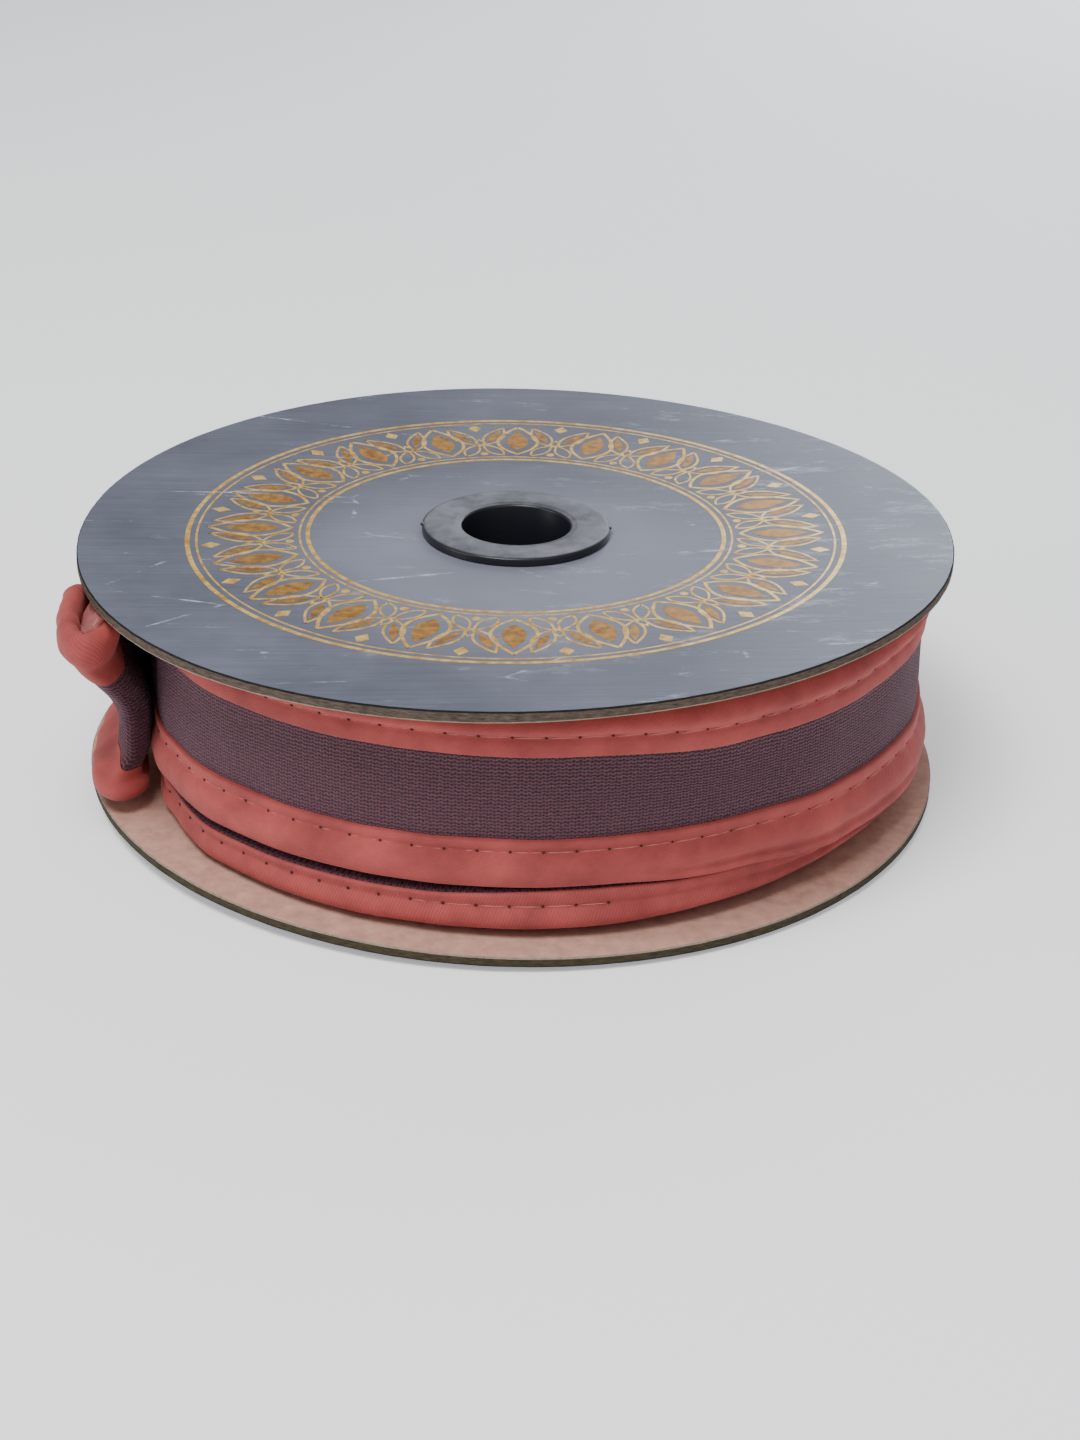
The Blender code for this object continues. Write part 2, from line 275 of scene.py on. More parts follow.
# %% A helper that rolls up a grid
def roll_up(section_at, steps):
    """Rolls a flat grid round the hub. section_at gives the closed section at a bearing."""
    start = section_at(90)
    rows = len(start)
    across = [0.0]
    for here, there in zip(start, start[1:] + start[:1]):
        across.append(across[-1] + math.hypot(there[0] - here[0], there[1] - here[1]))
    bm = bmesh.new()
    bmesh.ops.create_grid(bm, x_segments=steps, y_segments=rows, size=0.5)
    layer = bm.loops.layers.uv.new("trim_metres")
    row_layer = bm.verts.layers.int.new("row")
    step_layer = bm.verts.layers.int.new("step")
    for vert in bm.verts:
        vert[step_layer] = round((vert.co.x + 0.5) * steps)
        vert[row_layer] = round((vert.co.y + 0.5) * rows)
    for face in bm.faces:
        for loop in face.loops:
            along = loop.vert[step_layer] / steps * math.tau * ROLL_RADIUS
            loop[layer].uv = (along, across[loop.vert[row_layer]])
    edge = [vert for vert in bm.verts if vert.is_boundary]
    sections = [section_at(360 * step / steps) for step in range(steps)]
    for vert in bm.verts:
        step = vert[step_layer] % steps
        radius, height = sections[step][vert[row_layer] % rows]
        turn = math.tau * step / steps
        vert.co = (radius * math.sin(turn), -radius * math.cos(turn), height)
    bmesh.ops.remove_doubles(bm, verts=edge, dist=0.001 * MM)
    bmesh.ops.recalc_face_normals(bm, faces=bm.faces)
    return bm


ROLL_RADIUS = 91 * MM
around_length = math.tau * ROLL_RADIUS
print("one outer turn is about", round(around_length, 3), "m long")

# %% Two boards
FRONT_ANGLE = -97
FRONT_REACH = 15


def fine_board(name, rim, base_z, warp, node, paper_side, side_finish, bulge):
    """A board with paper on its outer side, bare board inside and a cut, slightly swollen edge.

    Where bulge isn't 0, the cut edge swells downwards by that much at the front.
    """
    inner = [BOARD_HOLE + step * (rim - 0.9 * MM - BOARD_HOLE) / 22 for step in range(23)]
    side = [(rim - 0.9 * MM, 0.0), (rim - 0.28 * MM, 0.0), (rim - 0.05 * MM, 0.10 * MM), (rim, 0.35 * MM),
            (rim, 1.1 * MM), (rim, 1.85 * MM), (rim - 0.05 * MM, 2.08 * MM), (rim - 0.28 * MM, 2.2 * MM),
            (rim - 0.9 * MM, 2.2 * MM)]
    outline = [(radius, 0.0) for radius in inner[:-1]] + side
    outline += [(radius, BOARD_THICKNESS) for radius in reversed(inner[:-1])]
    bm = roll_up(lambda bearing: outline, 288)
    for face in bm.faces:
        middle = face.calc_center_median()
        low_lip = rim - middle.xy.length < 0.4 * MM and middle.z < 0.3 * MM
        top_lip = rim - middle.xy.length < 0.4 * MM and middle.z > BOARD_THICKNESS - 0.3 * MM
        if paper_side < 0:
            low_lip, top_lip = top_lip, low_lip
        if top_lip:
            face.material_index = 3
        elif low_lip:
            face.material_index = 4
        elif abs(face.normal.z) < 0.5 and middle.xy.length > rim - 2 * MM:
            face.material_index = 1
        else:
            face.material_index = 0 if face.normal.z * paper_side > 0 else 2
    for vert in bm.verts:
        radius = vert.co.xy.length
        angle = math.atan2(vert.co.y, vert.co.x)
        at_edge = max(0.0, 1 - (rim - radius) / (1.5 * MM))
        swell = 0.5 + 0.5 * noise.noise(Vector((math.cos(angle) * 2.1, math.sin(angle) * 2.1, base_z * 90)))
        ragged = noise.noise(vert.co * 700) * 0.10 * MM * at_edge
        if vert.co.z < BOARD_THICKNESS / 2:
            front = math.exp(-((math.degrees(angle) - FRONT_ANGLE) / FRONT_REACH) ** 2)
            vert.co.z -= (0.25 * MM * swell + bulge * front) * at_edge
        vert.co.xy *= (radius + ragged) / radius
        vert.co.z += base_z + board_warp(radius, angle, *warp)
    return make_piece(name, bm, (paper, side_finish, bare_board, paper_lip, pale_lip),
                      (node,))


fine_board("upper_board", BOARD_RADIUS, UPPER_BOARD_Z, UPPER_WARP, "board_upper", 1, cut_edge, 0.35 * MM)
fine_board("lower_board", LOWER_BOARD_RADIUS, LOWER_BOARD_Z, LOWER_WARP, "board_lower", -1, lower_cut_edge, 0.0)

# %% [markdown]
# ## The moulded hub
# The hub is two black halves pushed together through the boards. Handling has polished and
# greyed the collar's flat top, and its inner ring is slightly dished. One spun outline makes
# each half, and two small nibs on the collar's rim are left from moulding.

# %% Hub finish
def hub_plastic():
    """Black moulded plastic, worn to grey where it's level with the board."""
    material, tree, shader = new_material("worn_black_plastic", IOR=1.46)
    place = add(tree, "ShaderNodeTexCoord").outputs["Object"]
    facing = add(tree, "ShaderNodeSeparateXYZ", None,
                 {0: add(tree, "ShaderNodeNewGeometry").outputs["Normal"]})
    level = add(tree, "ShaderNodeMath", {"operation": "ABSOLUTE"}, {0: facing.outputs[2]})
    flat = add(tree, "ShaderNodeMapRange", None,
               {"Value": level.outputs[0], "From Min": 0.90, "From Max": 0.995})
    wear = add(tree, "ShaderNodeTexNoise", None,
               {"Vector": place, "Scale": 105.0, "Detail": 7.0, "Roughness": 0.72})
    worn = add(tree, "ShaderNodeMapRange", None,
               {"Value": wear.outputs[0], "From Min": 0.40, "From Max": 0.62,
                "To Min": 0.42, "To Max": 1.0})
    mask = add(tree, "ShaderNodeMath", {"operation": "MULTIPLY"},
               {0: flat.outputs[0], 1: worn.outputs[0]})
    tint = add(tree, "ShaderNodeMixRGB", None,
               {"Fac": mask.outputs[0], "Color1": colour("14161d"), "Color2": colour("6f7078")})
    rough = add(tree, "ShaderNodeMapRange", None,
                {"Value": mask.outputs[0], "To Min": 0.34, "To Max": 0.52})
    tree.links.new(rough.outputs[0], shader.inputs["Roughness"])
    finish_surface(tree, shader, tint, wear.outputs[0], 0.12, 0.0002)
    return material


plastic = hub_plastic()
print("hub finish:", plastic.name)

# %% Two hub halves
REEL_HEIGHT = 61.3 * MM


def fine_hub(name, node, upward):
    """A collar with an eased rim, a dished inner ring, and a sleeve down to the reel's middle."""
    def at(radius, depth):
        return (radius * MM, REEL_HEIGHT - depth * MM if upward else depth * MM)

    outline = [at(12.7, 30.35), at(12.7, 0.75), at(12.85, 0.40), at(13.2, 0.22), at(13.9, 0.20),
               at(14.2, 0.06), at(14.6, 0.0), at(20.9, 0.0), at(21.6, 0.08), at(21.93, 0.30),
               at(22.0, 0.62), at(22.0, 1.80), at(14.6, 1.80), at(14.6, 30.35)]
    bm = spin_outline(outline, 128)
    for side in (-1, 1):
        nib = bmesh.ops.create_uvsphere(bm, u_segments=14, v_segments=8, radius=0.8 * MM)["verts"]
        bmesh.ops.scale(bm, verts=nib, vec=(0.9, 1.3, 0.5))
        bmesh.ops.translate(bm, verts=nib, vec=(side * 21.7 * MM, -0.5 * MM, at(0, 0.42)[1]))
    return make_piece(name, bm, (plastic,), (node,), sharp=50)


fine_hub("hub_top_half", "hub_upper", True)
fine_hub("hub_foot_half", "hub_lower", False)

# %% [markdown]
# ## The gold ring ornament
# A ring of foil is stamped on the paper. Here it's a plain traditional border of leaves between
# thin rings: outlined leaves with a filled heart, slender leaves that lean together between
# them, lozenges and dots. A flat leaf is made from a circle, an outline by insetting it, and
# spin copies them round the hub before they're laid on the warped board as a very thin layer.

# %% Foil finish
def gold_foil_finish(name, dark, light, roughest):
    """Stamped gold foil: metal with a soft uneven shine, browner where it's thin."""
    material, tree, shader = new_material(name, Metallic=0.55)
    place = add(tree, "ShaderNodeTexCoord").outputs["Object"]
    uneven = add(tree, "ShaderNodeTexNoise", None,
                 {"Vector": place, "Scale": 420.0, "Detail": 5.0, "Roughness": 0.6})
    tint = add(tree, "ShaderNodeValToRGB", None, {"Fac": uneven.outputs[0]})
    set_tones(tint, (0.36, dark), (0.62, light))
    tree.links.new(tint.outputs[0], shader.inputs["Base Color"])
    rough = add(tree, "ShaderNodeMapRange", None,
                {"Value": uneven.outputs[0], "To Min": 0.25, "To Max": roughest})
    tree.links.new(rough.outputs[0], shader.inputs["Roughness"])
    return material


foil = gold_foil_finish("bright_gold_foil", "cd9330", "f8d27c", 0.42)
thin_foil = gold_foil_finish("thin_gold_foil", "8d5f27", "c28c3a", 0.55)
print("foil finishes:", foil.name, thin_foil.name)

# %% The ornament on the upper board
FOIL_LIFT = 0.04 * MM
LEAVES = 20


def upper_board_top(x, y):
    """The height of the upper board's papered surface."""
    return UPPER_BOARD_Z + BOARD_THICKNESS + board_warp(math.hypot(x, y), math.atan2(y, x), *UPPER_WARP)


def flat_leaf(bm, half_long, half_wide, sides=28):
    """A flat leaf at the origin, pointed at both ends of X. With 4 sides it's a lozenge."""
    made = bmesh.ops.create_circle(bm, cap_ends=True, radius=1.0, segments=sides)["verts"]
    if sides > 12:
        for vert in made:
            vert.co.y *= math.sqrt(max(0.0, 1 - vert.co.x ** 2)) * (1 - 0.25 * vert.co.x)
    bmesh.ops.scale(bm, verts=made, vec=(half_long, half_wide, 1))
    return made


def outlined(bm, verts, width):
    """Leaves only an outline of a flat shape, by insetting its face and dropping the middle."""
    face = verts[0].link_faces[0]
    bmesh.ops.inset_individual(bm, faces=[face], thickness=width, use_even_offset=True)
    made = list(face.verts)
    bmesh.ops.delete(bm, geom=[face], context="FACES_ONLY")
    return verts + made


def ring(bm, radius, width):
    """A flat ring of many short faces round the hub."""
    near = bm.verts.new((radius - width / 2, 0, 0))
    far = bm.verts.new((radius + width / 2, 0, 0))
    edge = bm.edges.new((near, far))
    bmesh.ops.spin(bm, geom=[near, far, edge], cent=(0, 0, 0), axis=(0, 0, 1), angle=math.tau,
                   steps=240, use_merge=True)


bm = bmesh.new()
ORNAMENT = (
    # radius, half_long, half_wide, sides, outline, lean, turn
    (62.2, 10.2, 5.4, 28, 0.80, 0, 0.0),
    (62.0, 6.6, 2.7, 28, 0.0, 0, 0.0),
    (65.2, 7.0, 2.6, 28, 0.60, -24, 0.29),
    (65.2, 4.6, 1.0, 28, 0.0, -24, 0.29),
    (65.2, 7.0, 2.6, 28, 0.60, 24, 0.71),
    (65.2, 4.6, 1.0, 28, 0.0, 24, 0.71),
    (55.6, 4.8, 2.0, 28, 0.55, 30, 0.35),
    (55.6, 4.8, 2.0, 28, 0.55, -30, 0.65),
    (71.0, 2.4, 1.7, 4, 0.0, 0, 0.5),
    (60.8, 2.6, 1.4, 4, 0.45, 0, 0.5),
    (52.9, 1.0, 1.0, 12, 0.0, 0, 0.5),
)
for radius, half_long, half_wide, sides, outline, lean, turn in ORNAMENT:
    known = set(bm.verts)
    shape = flat_leaf(bm, half_long * MM, half_wide * MM, sides)
    if outline:
        shape = outlined(bm, shape, outline * MM)
    leaning = Matrix.Rotation(math.radians(lean), 3, "Z")
    bmesh.ops.rotate(bm, verts=shape, cent=(0, 0, 0), matrix=leaning)
    bmesh.ops.translate(bm, verts=shape, vec=(radius * MM, 0, 0))
    turned = Matrix.Rotation(turn * math.tau / LEAVES, 3, "Z")
    bmesh.ops.rotate(bm, verts=shape, cent=(0, 0, 0), matrix=turned)
    faces = {face for vert in bm.verts if vert not in known for face in vert.link_faces}
    for face in faces:
        face.material_index = 0 if outline or sides < 28 else 1
    bmesh.ops.spin(bm, geom=list(faces), cent=(0, 0, 0), axis=(0, 0, 1), use_duplicate=True,
                   angle=math.tau * (LEAVES - 1) / LEAVES, steps=LEAVES - 1)
for radius, width in ((48.6, 1.0), (50.5, 0.5), (74.3, 0.5), (76.4, 1.1)):
    ring(bm, radius * MM, width * MM)
for vert in bm.verts:
    vert.co.z = upper_board_top(vert.co.x, vert.co.y) + FOIL_LIFT
for face in bm.faces:
    face.normal_update()
    if face.normal.z < 0:
        face.normal_flip()
bmesh.ops.solidify(bm, geom=list(bm.faces), thickness=FOIL_LIFT * 1.5)
bmesh.ops.recalc_face_normals(bm, faces=bm.faces)
make_piece("gold_ring_ornament", bm, (foil, thin_foil))

# %% [markdown]
# ## Coral piping, net tape and thread
# The piping is a bias-cut strip of soft cotton folded round a cord. Its weave runs at an angle
# as fine diagonal lines, drawn a little coarser than they are so that they show, and inside the
# fold it is paler. The net is a knitted tape of dark mauve thread in rows, with painted shade in the
# spaces between. Both patterns are read from the piece's own UV map, which is laid out in
# metres: U runs along the trim and V across it.

# %% Trim finishes
STITCH_PITCH = around_length / 83
TWILL_PITCH = 0.52 * MM


def coral_cloth(name, dark, light):
    """Coral cotton with a fine diagonal weave, a soft nap and slight patches of fading."""
    material, tree, shader = new_material(name, Roughness=0.85, Sheen_Weight=0.22,
                                          Sheen_Roughness=0.45, Sheen_Tint=colour("e0a49c"))
    across = add(tree, "ShaderNodeUVMap", {"uv_map": "trim_metres"}).outputs[0]
    weave_place = add(tree, "ShaderNodeMapping", None,
                      {"Vector": across, "Rotation": (0, 0, math.radians(42))})
    lines = add(tree, "ShaderNodeTexWave", {"wave_type": "BANDS", "bands_direction": "X"},
                {"Vector": weave_place.outputs[0], "Scale": math.tau / 20 / TWILL_PITCH,
                 "Distortion": 1.0, "Detail": 2.0, "Detail Scale": 1.0})
    place = add(tree, "ShaderNodeTexCoord").outputs["Object"]
    patches = add(tree, "ShaderNodeTexNoise", None,
                  {"Vector": place, "Scale": 75.0, "Detail": 4.0, "Roughness": 0.6})
    tint = add(tree, "ShaderNodeValToRGB", None, {"Fac": patches.outputs[0]})
    set_tones(tint, (0.32, dark), (0.70, light))
    woven = add(tree, "ShaderNodeMixRGB", {"blend_type": "MULTIPLY"},
                {"Fac": 0.22, "Color1": tint.outputs[0], "Color2": lines.outputs[0]})
    finish_surface(tree, shader, woven, lines.outputs[1], 0.16, 0.00025)
    return material


def net_cloth():
    """Dark mauve net: raised thread rows along the tape, crossed by finer loops."""
    material, tree, shader = new_material("mauve_net", Roughness=0.86, Sheen_Weight=0.22,
                                          Sheen_Roughness=0.5, Sheen_Tint=colour("a58a9c"))
    metres = add(tree, "ShaderNodeUVMap", {"uv_map": "trim_metres"}).outputs[0]
    wobble = add(tree, "ShaderNodeTexNoise", None,
                 {"Vector": metres, "Scale": 420.0, "Detail": 3.0, "Roughness": 0.6})
    shifted = add(tree, "ShaderNodeVectorMath", {"operation": "SCALE"},
                  {0: wobble.outputs[1], "Scale": 0.0009})
    bent = add(tree, "ShaderNodeVectorMath", {"operation": "ADD"}, {0: metres, 1: shifted.outputs[0]})
    parts = add(tree, "ShaderNodeSeparateXYZ", None, {0: bent.outputs[0]})
    zigzag_turn = add(tree, "ShaderNodeMath", {"operation": "MULTIPLY"},
                      {0: parts.outputs[0], 1: math.tau / (1.5 * MM)})
    zigzag = add(tree, "ShaderNodeMath", {"operation": "SINE"}, {0: zigzag_turn.outputs[0]})
    knitted = add(tree, "ShaderNodeMath", {"operation": "MULTIPLY_ADD"},
                  {0: zigzag.outputs[0], 1: 0.12 * MM, 2: parts.outputs[1]})
    row_turn = add(tree, "ShaderNodeMath", {"operation": "MULTIPLY"},
                   {0: knitted.outputs[0], 1: math.tau / (0.85 * MM)})
    row = add(tree, "ShaderNodeMath", {"operation": "COSINE"}, {0: row_turn.outputs[0]})
    loop_turn = add(tree, "ShaderNodeMath", {"operation": "MULTIPLY"},
                    {0: parts.outputs[0], 1: math.tau / (0.75 * MM)})
    loop = add(tree, "ShaderNodeMath", {"operation": "COSINE"}, {0: loop_turn.outputs[0]})
    threads = add(tree, "ShaderNodeMath", {"operation": "MULTIPLY_ADD"},
                  {0: loop.outputs[0], 1: 0.45, 2: row.outputs[0]})
    fluff = add(tree, "ShaderNodeTexNoise", None,
                {"Vector": metres, "Scale": 900.0, "Detail": 3.0, "Roughness": 0.7})
    uneven = add(tree, "ShaderNodeMath", {"operation": "MULTIPLY_ADD"},
                 {0: fluff.outputs[0], 1: 2.6, 2: threads.outputs[0]})
    shown = add(tree, "ShaderNodeMapRange", None,
                {"Value": uneven.outputs[0], "From Min": -0.1, "From Max": 2.9})
    tint = add(tree, "ShaderNodeValToRGB", None, {"Fac": shown.outputs[0]})
    # The dark tone is painted shade in the spaces between the threads, where the net is see-through.
    set_tones(tint, (0.12, "22151e"), (0.85, "653846"))
    finish_surface(tree, shader, tint, shown.outputs[0], 0.8, 0.0004)
    return material


coral = coral_cloth("coral_bias_cotton", "8e3836", "b34d49")
# A paler coral, used for the crumple inside the fold.
pale_coral = coral_cloth("pale_coral_cotton", "8f4a48", "b8716e")
net = net_cloth()
thread, _, _ = new_material("stitch_thread", Base_Color=colour("b56e66"), Roughness=0.7)
# The needle holes' dark colour is painted shade inside each hole.
shaded_needle_hole, _, _ = new_material("shaded_needle_hole", Base_Color=colour("38171a"), Roughness=0.95)
print("trim finishes:", coral.name, net.name, thread.name)

# %% [markdown]
# ## How the trim lies on the reel
# The winding isn't a true cylinder: its outer turn bulges at the right, and the second turn
# sags and peeps out below. A short table gives the net's radius and the heights of the edges at
# a dozen bearings, and everything between is read smoothly. It's the same table the frame's
# solid was made from.

# %% The winding's table
LOWER_STITCH = 0.76
SECOND_STITCH = 0.63
SECOND_LIP = 0.45 * MM
NET_THICKNESS = 0.9 * MM
WINDING = (
    # bearing, net_radius, upper_edge, lower_edge, first_foot, second_foot, swell, second_swell
    (-90, 84.8, 46.0, 26.5, 15.2, 7.6, 1.6, -1.0),
    (-74, 86.2, 46.0, 26.5, 15.0, 7.2, 1.6, -0.6),
    (-60, 88.8, 46.0, 26.5, 14.8, 6.2, 2.1, 0.8),
    (-45, 90.3, 46.0, 26.5, 14.8, 5.5, 2.7, 2.4),
    (-20, 91.2, 46.0, 26.5, 15.1, 5.3, 2.7, 2.5),
    (10, 91.6, 45.7, 26.5, 15.2, 5.3, 2.7, 2.4),
    (30, 92.1, 44.1, 26.5, 14.0, 6.2, 2.7, 1.2),
    (50, 94.2, 44.6, 26.4, 11.7, 7.8, 2.7, -0.6),
    (75, 96.1, 46.0, 26.3, 10.0, 7.9, 2.7, -1.2),
    (110, 95.2, 46.3, 26.4, 11.5, 7.4, 2.7, -0.6),
    (150, 93.0, 46.4, 26.5, 14.5, 6.4, 2.6, 1.2),
    (190, 89.8, 46.3, 26.5, 15.4, 6.2, 2.4, 1.6),
    (230, 86.6, 46.1, 26.5, 15.6, 7.0, 2.0, 0.6),
)
ROLL_CROWN = 55.9 * MM
ROLL_FLOOR = 5.4 * MM
ROLL_BORE = 15.2 * MM
UPPER_STITCH_RISE = 4.5 * MM


def smooth(share):
    """A share from 0 to 1, eased at both ends."""
    return share * share * (3 - 2 * share)


def eased(value, start, end):
    """0 before start, 1 past end, and eased between. The end may be the smaller of the two."""
    return smooth(min(1, max(0, (value - start) / (end - start))))


def winding_at(bearing):
    """The winding's sizes in metres at a bearing in degrees, 0 at the front and 90 at the right."""
    turned = (bearing + 90) % 360 - 90
    rows = WINDING + ((WINDING[0][0] + 360,) + WINDING[0][1:],)
    for row, after in zip(rows, rows[1:]):
        if row[0] <= turned <= after[0]:
            share = smooth((turned - row[0]) / (after[0] - row[0]))
            return [(a + (b - a) * share) * MM for a, b in zip(row[1:], after[1:])]
    raise ValueError("no row holds this bearing")


def curve_through(points, count):
    """Even steps along a smooth curve through (along, value) points."""
    made = []
    padded = [points[0]] + list(points) + [points[-1]]
    spans = len(points) - 1
    for index in range(count + 1):
        at = index / count * spans
        span = min(int(at), spans - 1)
        t = at - span
        a, b, c, d = padded[span:span + 4]
        made.append(tuple(
            0.5 * (2 * q + (r - p) * t + (2 * p - 5 * q + 4 * r - s) * t * t
                   + (3 * q - p - 3 * r + s) * t ** 3)
            for p, q, r, s in zip(a, b, c, d)
        ))
    return made


# %% [markdown]
# ## A band of the winding
# Each band, such as the lower piping, is one strip rolled up on the section that the table gives
# at each bearing. A small pucker at the stitch row repeats at the sewing machine's pitch, and slow
# noise keeps the cloth from looking turned on a lathe.

# %% A helper for bands
WAVE = 0.25 * MM


def waviness(point, wave=WAVE):
    """How far the cloth stands out from a true turned shape at a point."""
    radius = point.xy.length
    return noise.noise(Vector((point.x / radius * 9, point.y / radius * 9, point.z * 60))) * wave


def band(name, section_at, materials, steps=720, nodes=(), wave=WAVE, other_rows=()):
    """A ring of trim. section_at gives the (radius, height) points at a bearing."""
    bm = roll_up(section_at, steps)
    row_layer = bm.verts.layers.int["row"]
    for face in bm.faces:
        if all(vert[row_layer] in other_rows for vert in face.verts):
            face.material_index = 1
    for vert in bm.verts:
        vert.co.xy *= 1 + waviness(vert.co, wave) / vert.co.xy.length
    return make_piece(name, bm, materials, nodes)


def right_fold(bearing):
    """How much the turns sag into soft folds: fully at the right, not at all at the front."""
    turned = (bearing + 180) % 360 - 180
    return eased(turned, 8, 32) * eased(turned, 92, 68)


def pucker(bearing, height, stitch_height, depth=0.22 * MM, reach=1.3 * MM):
    """How far the stitches pull the cloth in at a point near their row."""
    along = math.radians(bearing) * around_length / math.tau
    near = math.exp(-((height - stitch_height) / reach) ** 2)
    return -depth * near * (0.5 + 0.5 * math.cos(math.tau * along / STITCH_PITCH))


# %% The outer turn's net
def net_section(bearing):
    """The net band between the two pipings, tucked a little behind both."""
    radius, upper, lower = winding_at(bearing)[:3]
    rows = curve_through([(radius - 0.2 * MM, lower - 1.0 * MM), (radius - 0.05 * MM, lower + 5 * MM),
                          (radius - 0.1 * MM, upper - 5 * MM), (radius - 0.1 * MM, upper + 1.0 * MM)], 24)
    return rows + [(r - NET_THICKNESS, h) for r, h in reversed(rows)]


outer_net = band("outer_net_band", net_section, (net,), wave=0.35 * MM)


# %% The outer turn's lower piping
CREASE_DEPTH = 1.35 * MM
CREASE_SHARE = 0.27
CREASE_REACH = 0.10


def lower_piping_section(bearing):
    """The lower piping from its foot, over the cord and the stitch row to the lip on the net."""
    radius, _, lower, foot, _, swell, _ = winding_at(bearing)
    stitch = foot + LOWER_STITCH * (lower - foot)
    fold = right_fold(bearing)
    shape = ((0.00, -0.35 + 0.25 * fold), (0.03, 0.20 + 0.20 * fold), (0.10, 0.66), (0.22, 0.92),
             (0.38, 1.02), (0.53, 0.90), (0.66, 0.55), (LOWER_STITCH, 0.24), (0.86, 0.34),
             (0.97, 0.30), (1.00, 0.02))
    rows = []
    for share, reach in curve_through(shape, 40):
        height = foot + share * (lower - foot)
        crease = CREASE_DEPTH * fold * math.exp(-((share - CREASE_SHARE) / CREASE_REACH) ** 2)
        rows.append((radius + reach * swell - crease + pucker(bearing, height, stitch), height))
    return rows + [(radius - NET_THICKNESS, lower), (radius - 1.6 * MM, foot)]


lower_piping = band("outer_lower_piping", lower_piping_section, (coral,))


# %% The outer turn's upper piping
def upper_piping_section(bearing):
    """The upper piping from its lip on the net, over the stitch row and the cord to its crown."""
    radius, upper = winding_at(bearing)[:2]
    stitch = upper + UPPER_STITCH_RISE
    crown = ROLL_CROWN - stitch
    shape = [(0.0, upper), (0.55 * MM, upper + 0.15 * MM), (0.75 * MM, upper + 1.6 * MM),
             (0.70 * MM, stitch - 1.3 * MM), (0.45 * MM, stitch), (1.1 * MM, stitch + 0.14 * crown),
             (1.75 * MM, stitch + 0.30 * crown), (1.6 * MM, stitch + 0.52 * crown),
             (0.5 * MM, stitch + 0.76 * crown), (-1.4 * MM, stitch + 0.93 * crown), (-3.6 * MM, ROLL_CROWN)]
    rows = [(radius + reach + pucker(bearing, height, stitch), height)
            for reach, height in curve_through(shape, 40)]
    return rows + [(radius - 4.6 * MM, ROLL_CROWN - 1.2 * MM), (radius - NET_THICKNESS, upper)]


upper_piping = band("outer_upper_piping", upper_piping_section, (coral,))


# %% The second turn's piping
def second_gap(bearing):
    """How open the dark slot is between the two turns: fully at the front left, shut elsewhere."""
    turned = (bearing + 180) % 360 - 180
    return eased(turned, -72, -52) * eased(turned, 8, -14)


def second_piping_section(bearing):
    """The second turn's lower piping, which shows below the outer turn, and a sliver of its net."""
    radius, _, _, first, second, _, under = winding_at(bearing)
    slot = 0.13 * second_gap(bearing)
    stitch = second + SECOND_STITCH * (first - second)
    lip = under - SECOND_LIP
    shape = [(-3.2 * MM, 0.0), (under - 1.6 * MM, 0.05), (under - 0.45 * MM, 0.13), (under, 0.26),
             (under - 0.1 * MM, 0.40), (under - 0.45 * MM, 0.52), (lip - 0.30 * MM, SECOND_STITCH),
             (lip, 0.76), (lip - 0.15 * MM, 0.985 - slot), (min(lip - 0.9 * MM, -0.4 * MM), 1.01 - slot),
             (-2.6 * MM, 1.06 - slot)]
    rows = []
    for reach, share in curve_through(shape, 40):
        height = second + share * (first - second)
        rows.append((radius + reach + pucker(bearing, height, stitch), height))
    return rows + [(radius - 5.0 * MM, rows[-1][1]), (radius - 5.0 * MM, second)]


NET_ROWS = range(33, 42)
band("second_lower_piping", second_piping_section, (coral, net), other_rows=NET_ROWS)


# %% The inner turns
def core_section(bearing):
    """The turns within, as a ring whose top and foot show the edges of the turns as ridges."""
    radius = winding_at(bearing)[0] - 1.6 * MM
    turns = 24
    pitch = (radius - 2.6 * MM - ROLL_BORE) / turns
    top, foot = [], []
    for turn in range(turns):
        for share, drop in ((0.0, 1.0), (0.3, 0.15), (0.7, 0.15)):
            at = ROLL_BORE + (turn + share) * pitch
            top.append((at, ROLL_CROWN - 0.3 * MM - drop * 0.8 * MM))
            foot.append((at, ROLL_FLOOR + 0.2 * MM + drop * 0.8 * MM))
    outside = [(radius - 2.6 * MM, ROLL_CROWN - 1.1 * MM), (radius, ROLL_CROWN - 5 * MM),
               (radius, 20 * MM), (radius - 2.6 * MM, 8 * MM)]
    return top + outside + foot[::-1]


band("inner_turns", core_section, (coral,), steps=160, nodes=("wound_trim",), wave=0.0)

# %% [markdown]
# ## Stitches
# A lockstitch holds each piping on the net, and from the front it's a thread that dives into a
# small hole every six millimetres or so; each hole is a dark dot of painted shade. One short thread
# and one hole are made, and copies are set along the rows. The second turn's are left out where
# that turn is folded in.

# %% Stitch rows
FOLDED_IN = (14, 130)
THREAD_STARTS = -12


def stitch_line(row, bearing):
    """The radius and height of a stitch row at a bearing, on the wavy cloth."""
    radius, upper, lower, foot, second, swell, under = winding_at(bearing)
    if row == 0:
        reach, height = 0.36 * MM, upper + UPPER_STITCH_RISE
    elif row == 1:
        reach, height = 0.20 * swell, foot + LOWER_STITCH * (lower - foot)
    else:
        reach, height = under - SECOND_LIP - 0.34 * MM, second + SECOND_STITCH * (foot - second)
    turn = math.radians(bearing)
    spot = Vector((radius * math.sin(turn), -radius * math.cos(turn), height))
    return radius + reach + waviness(spot), height


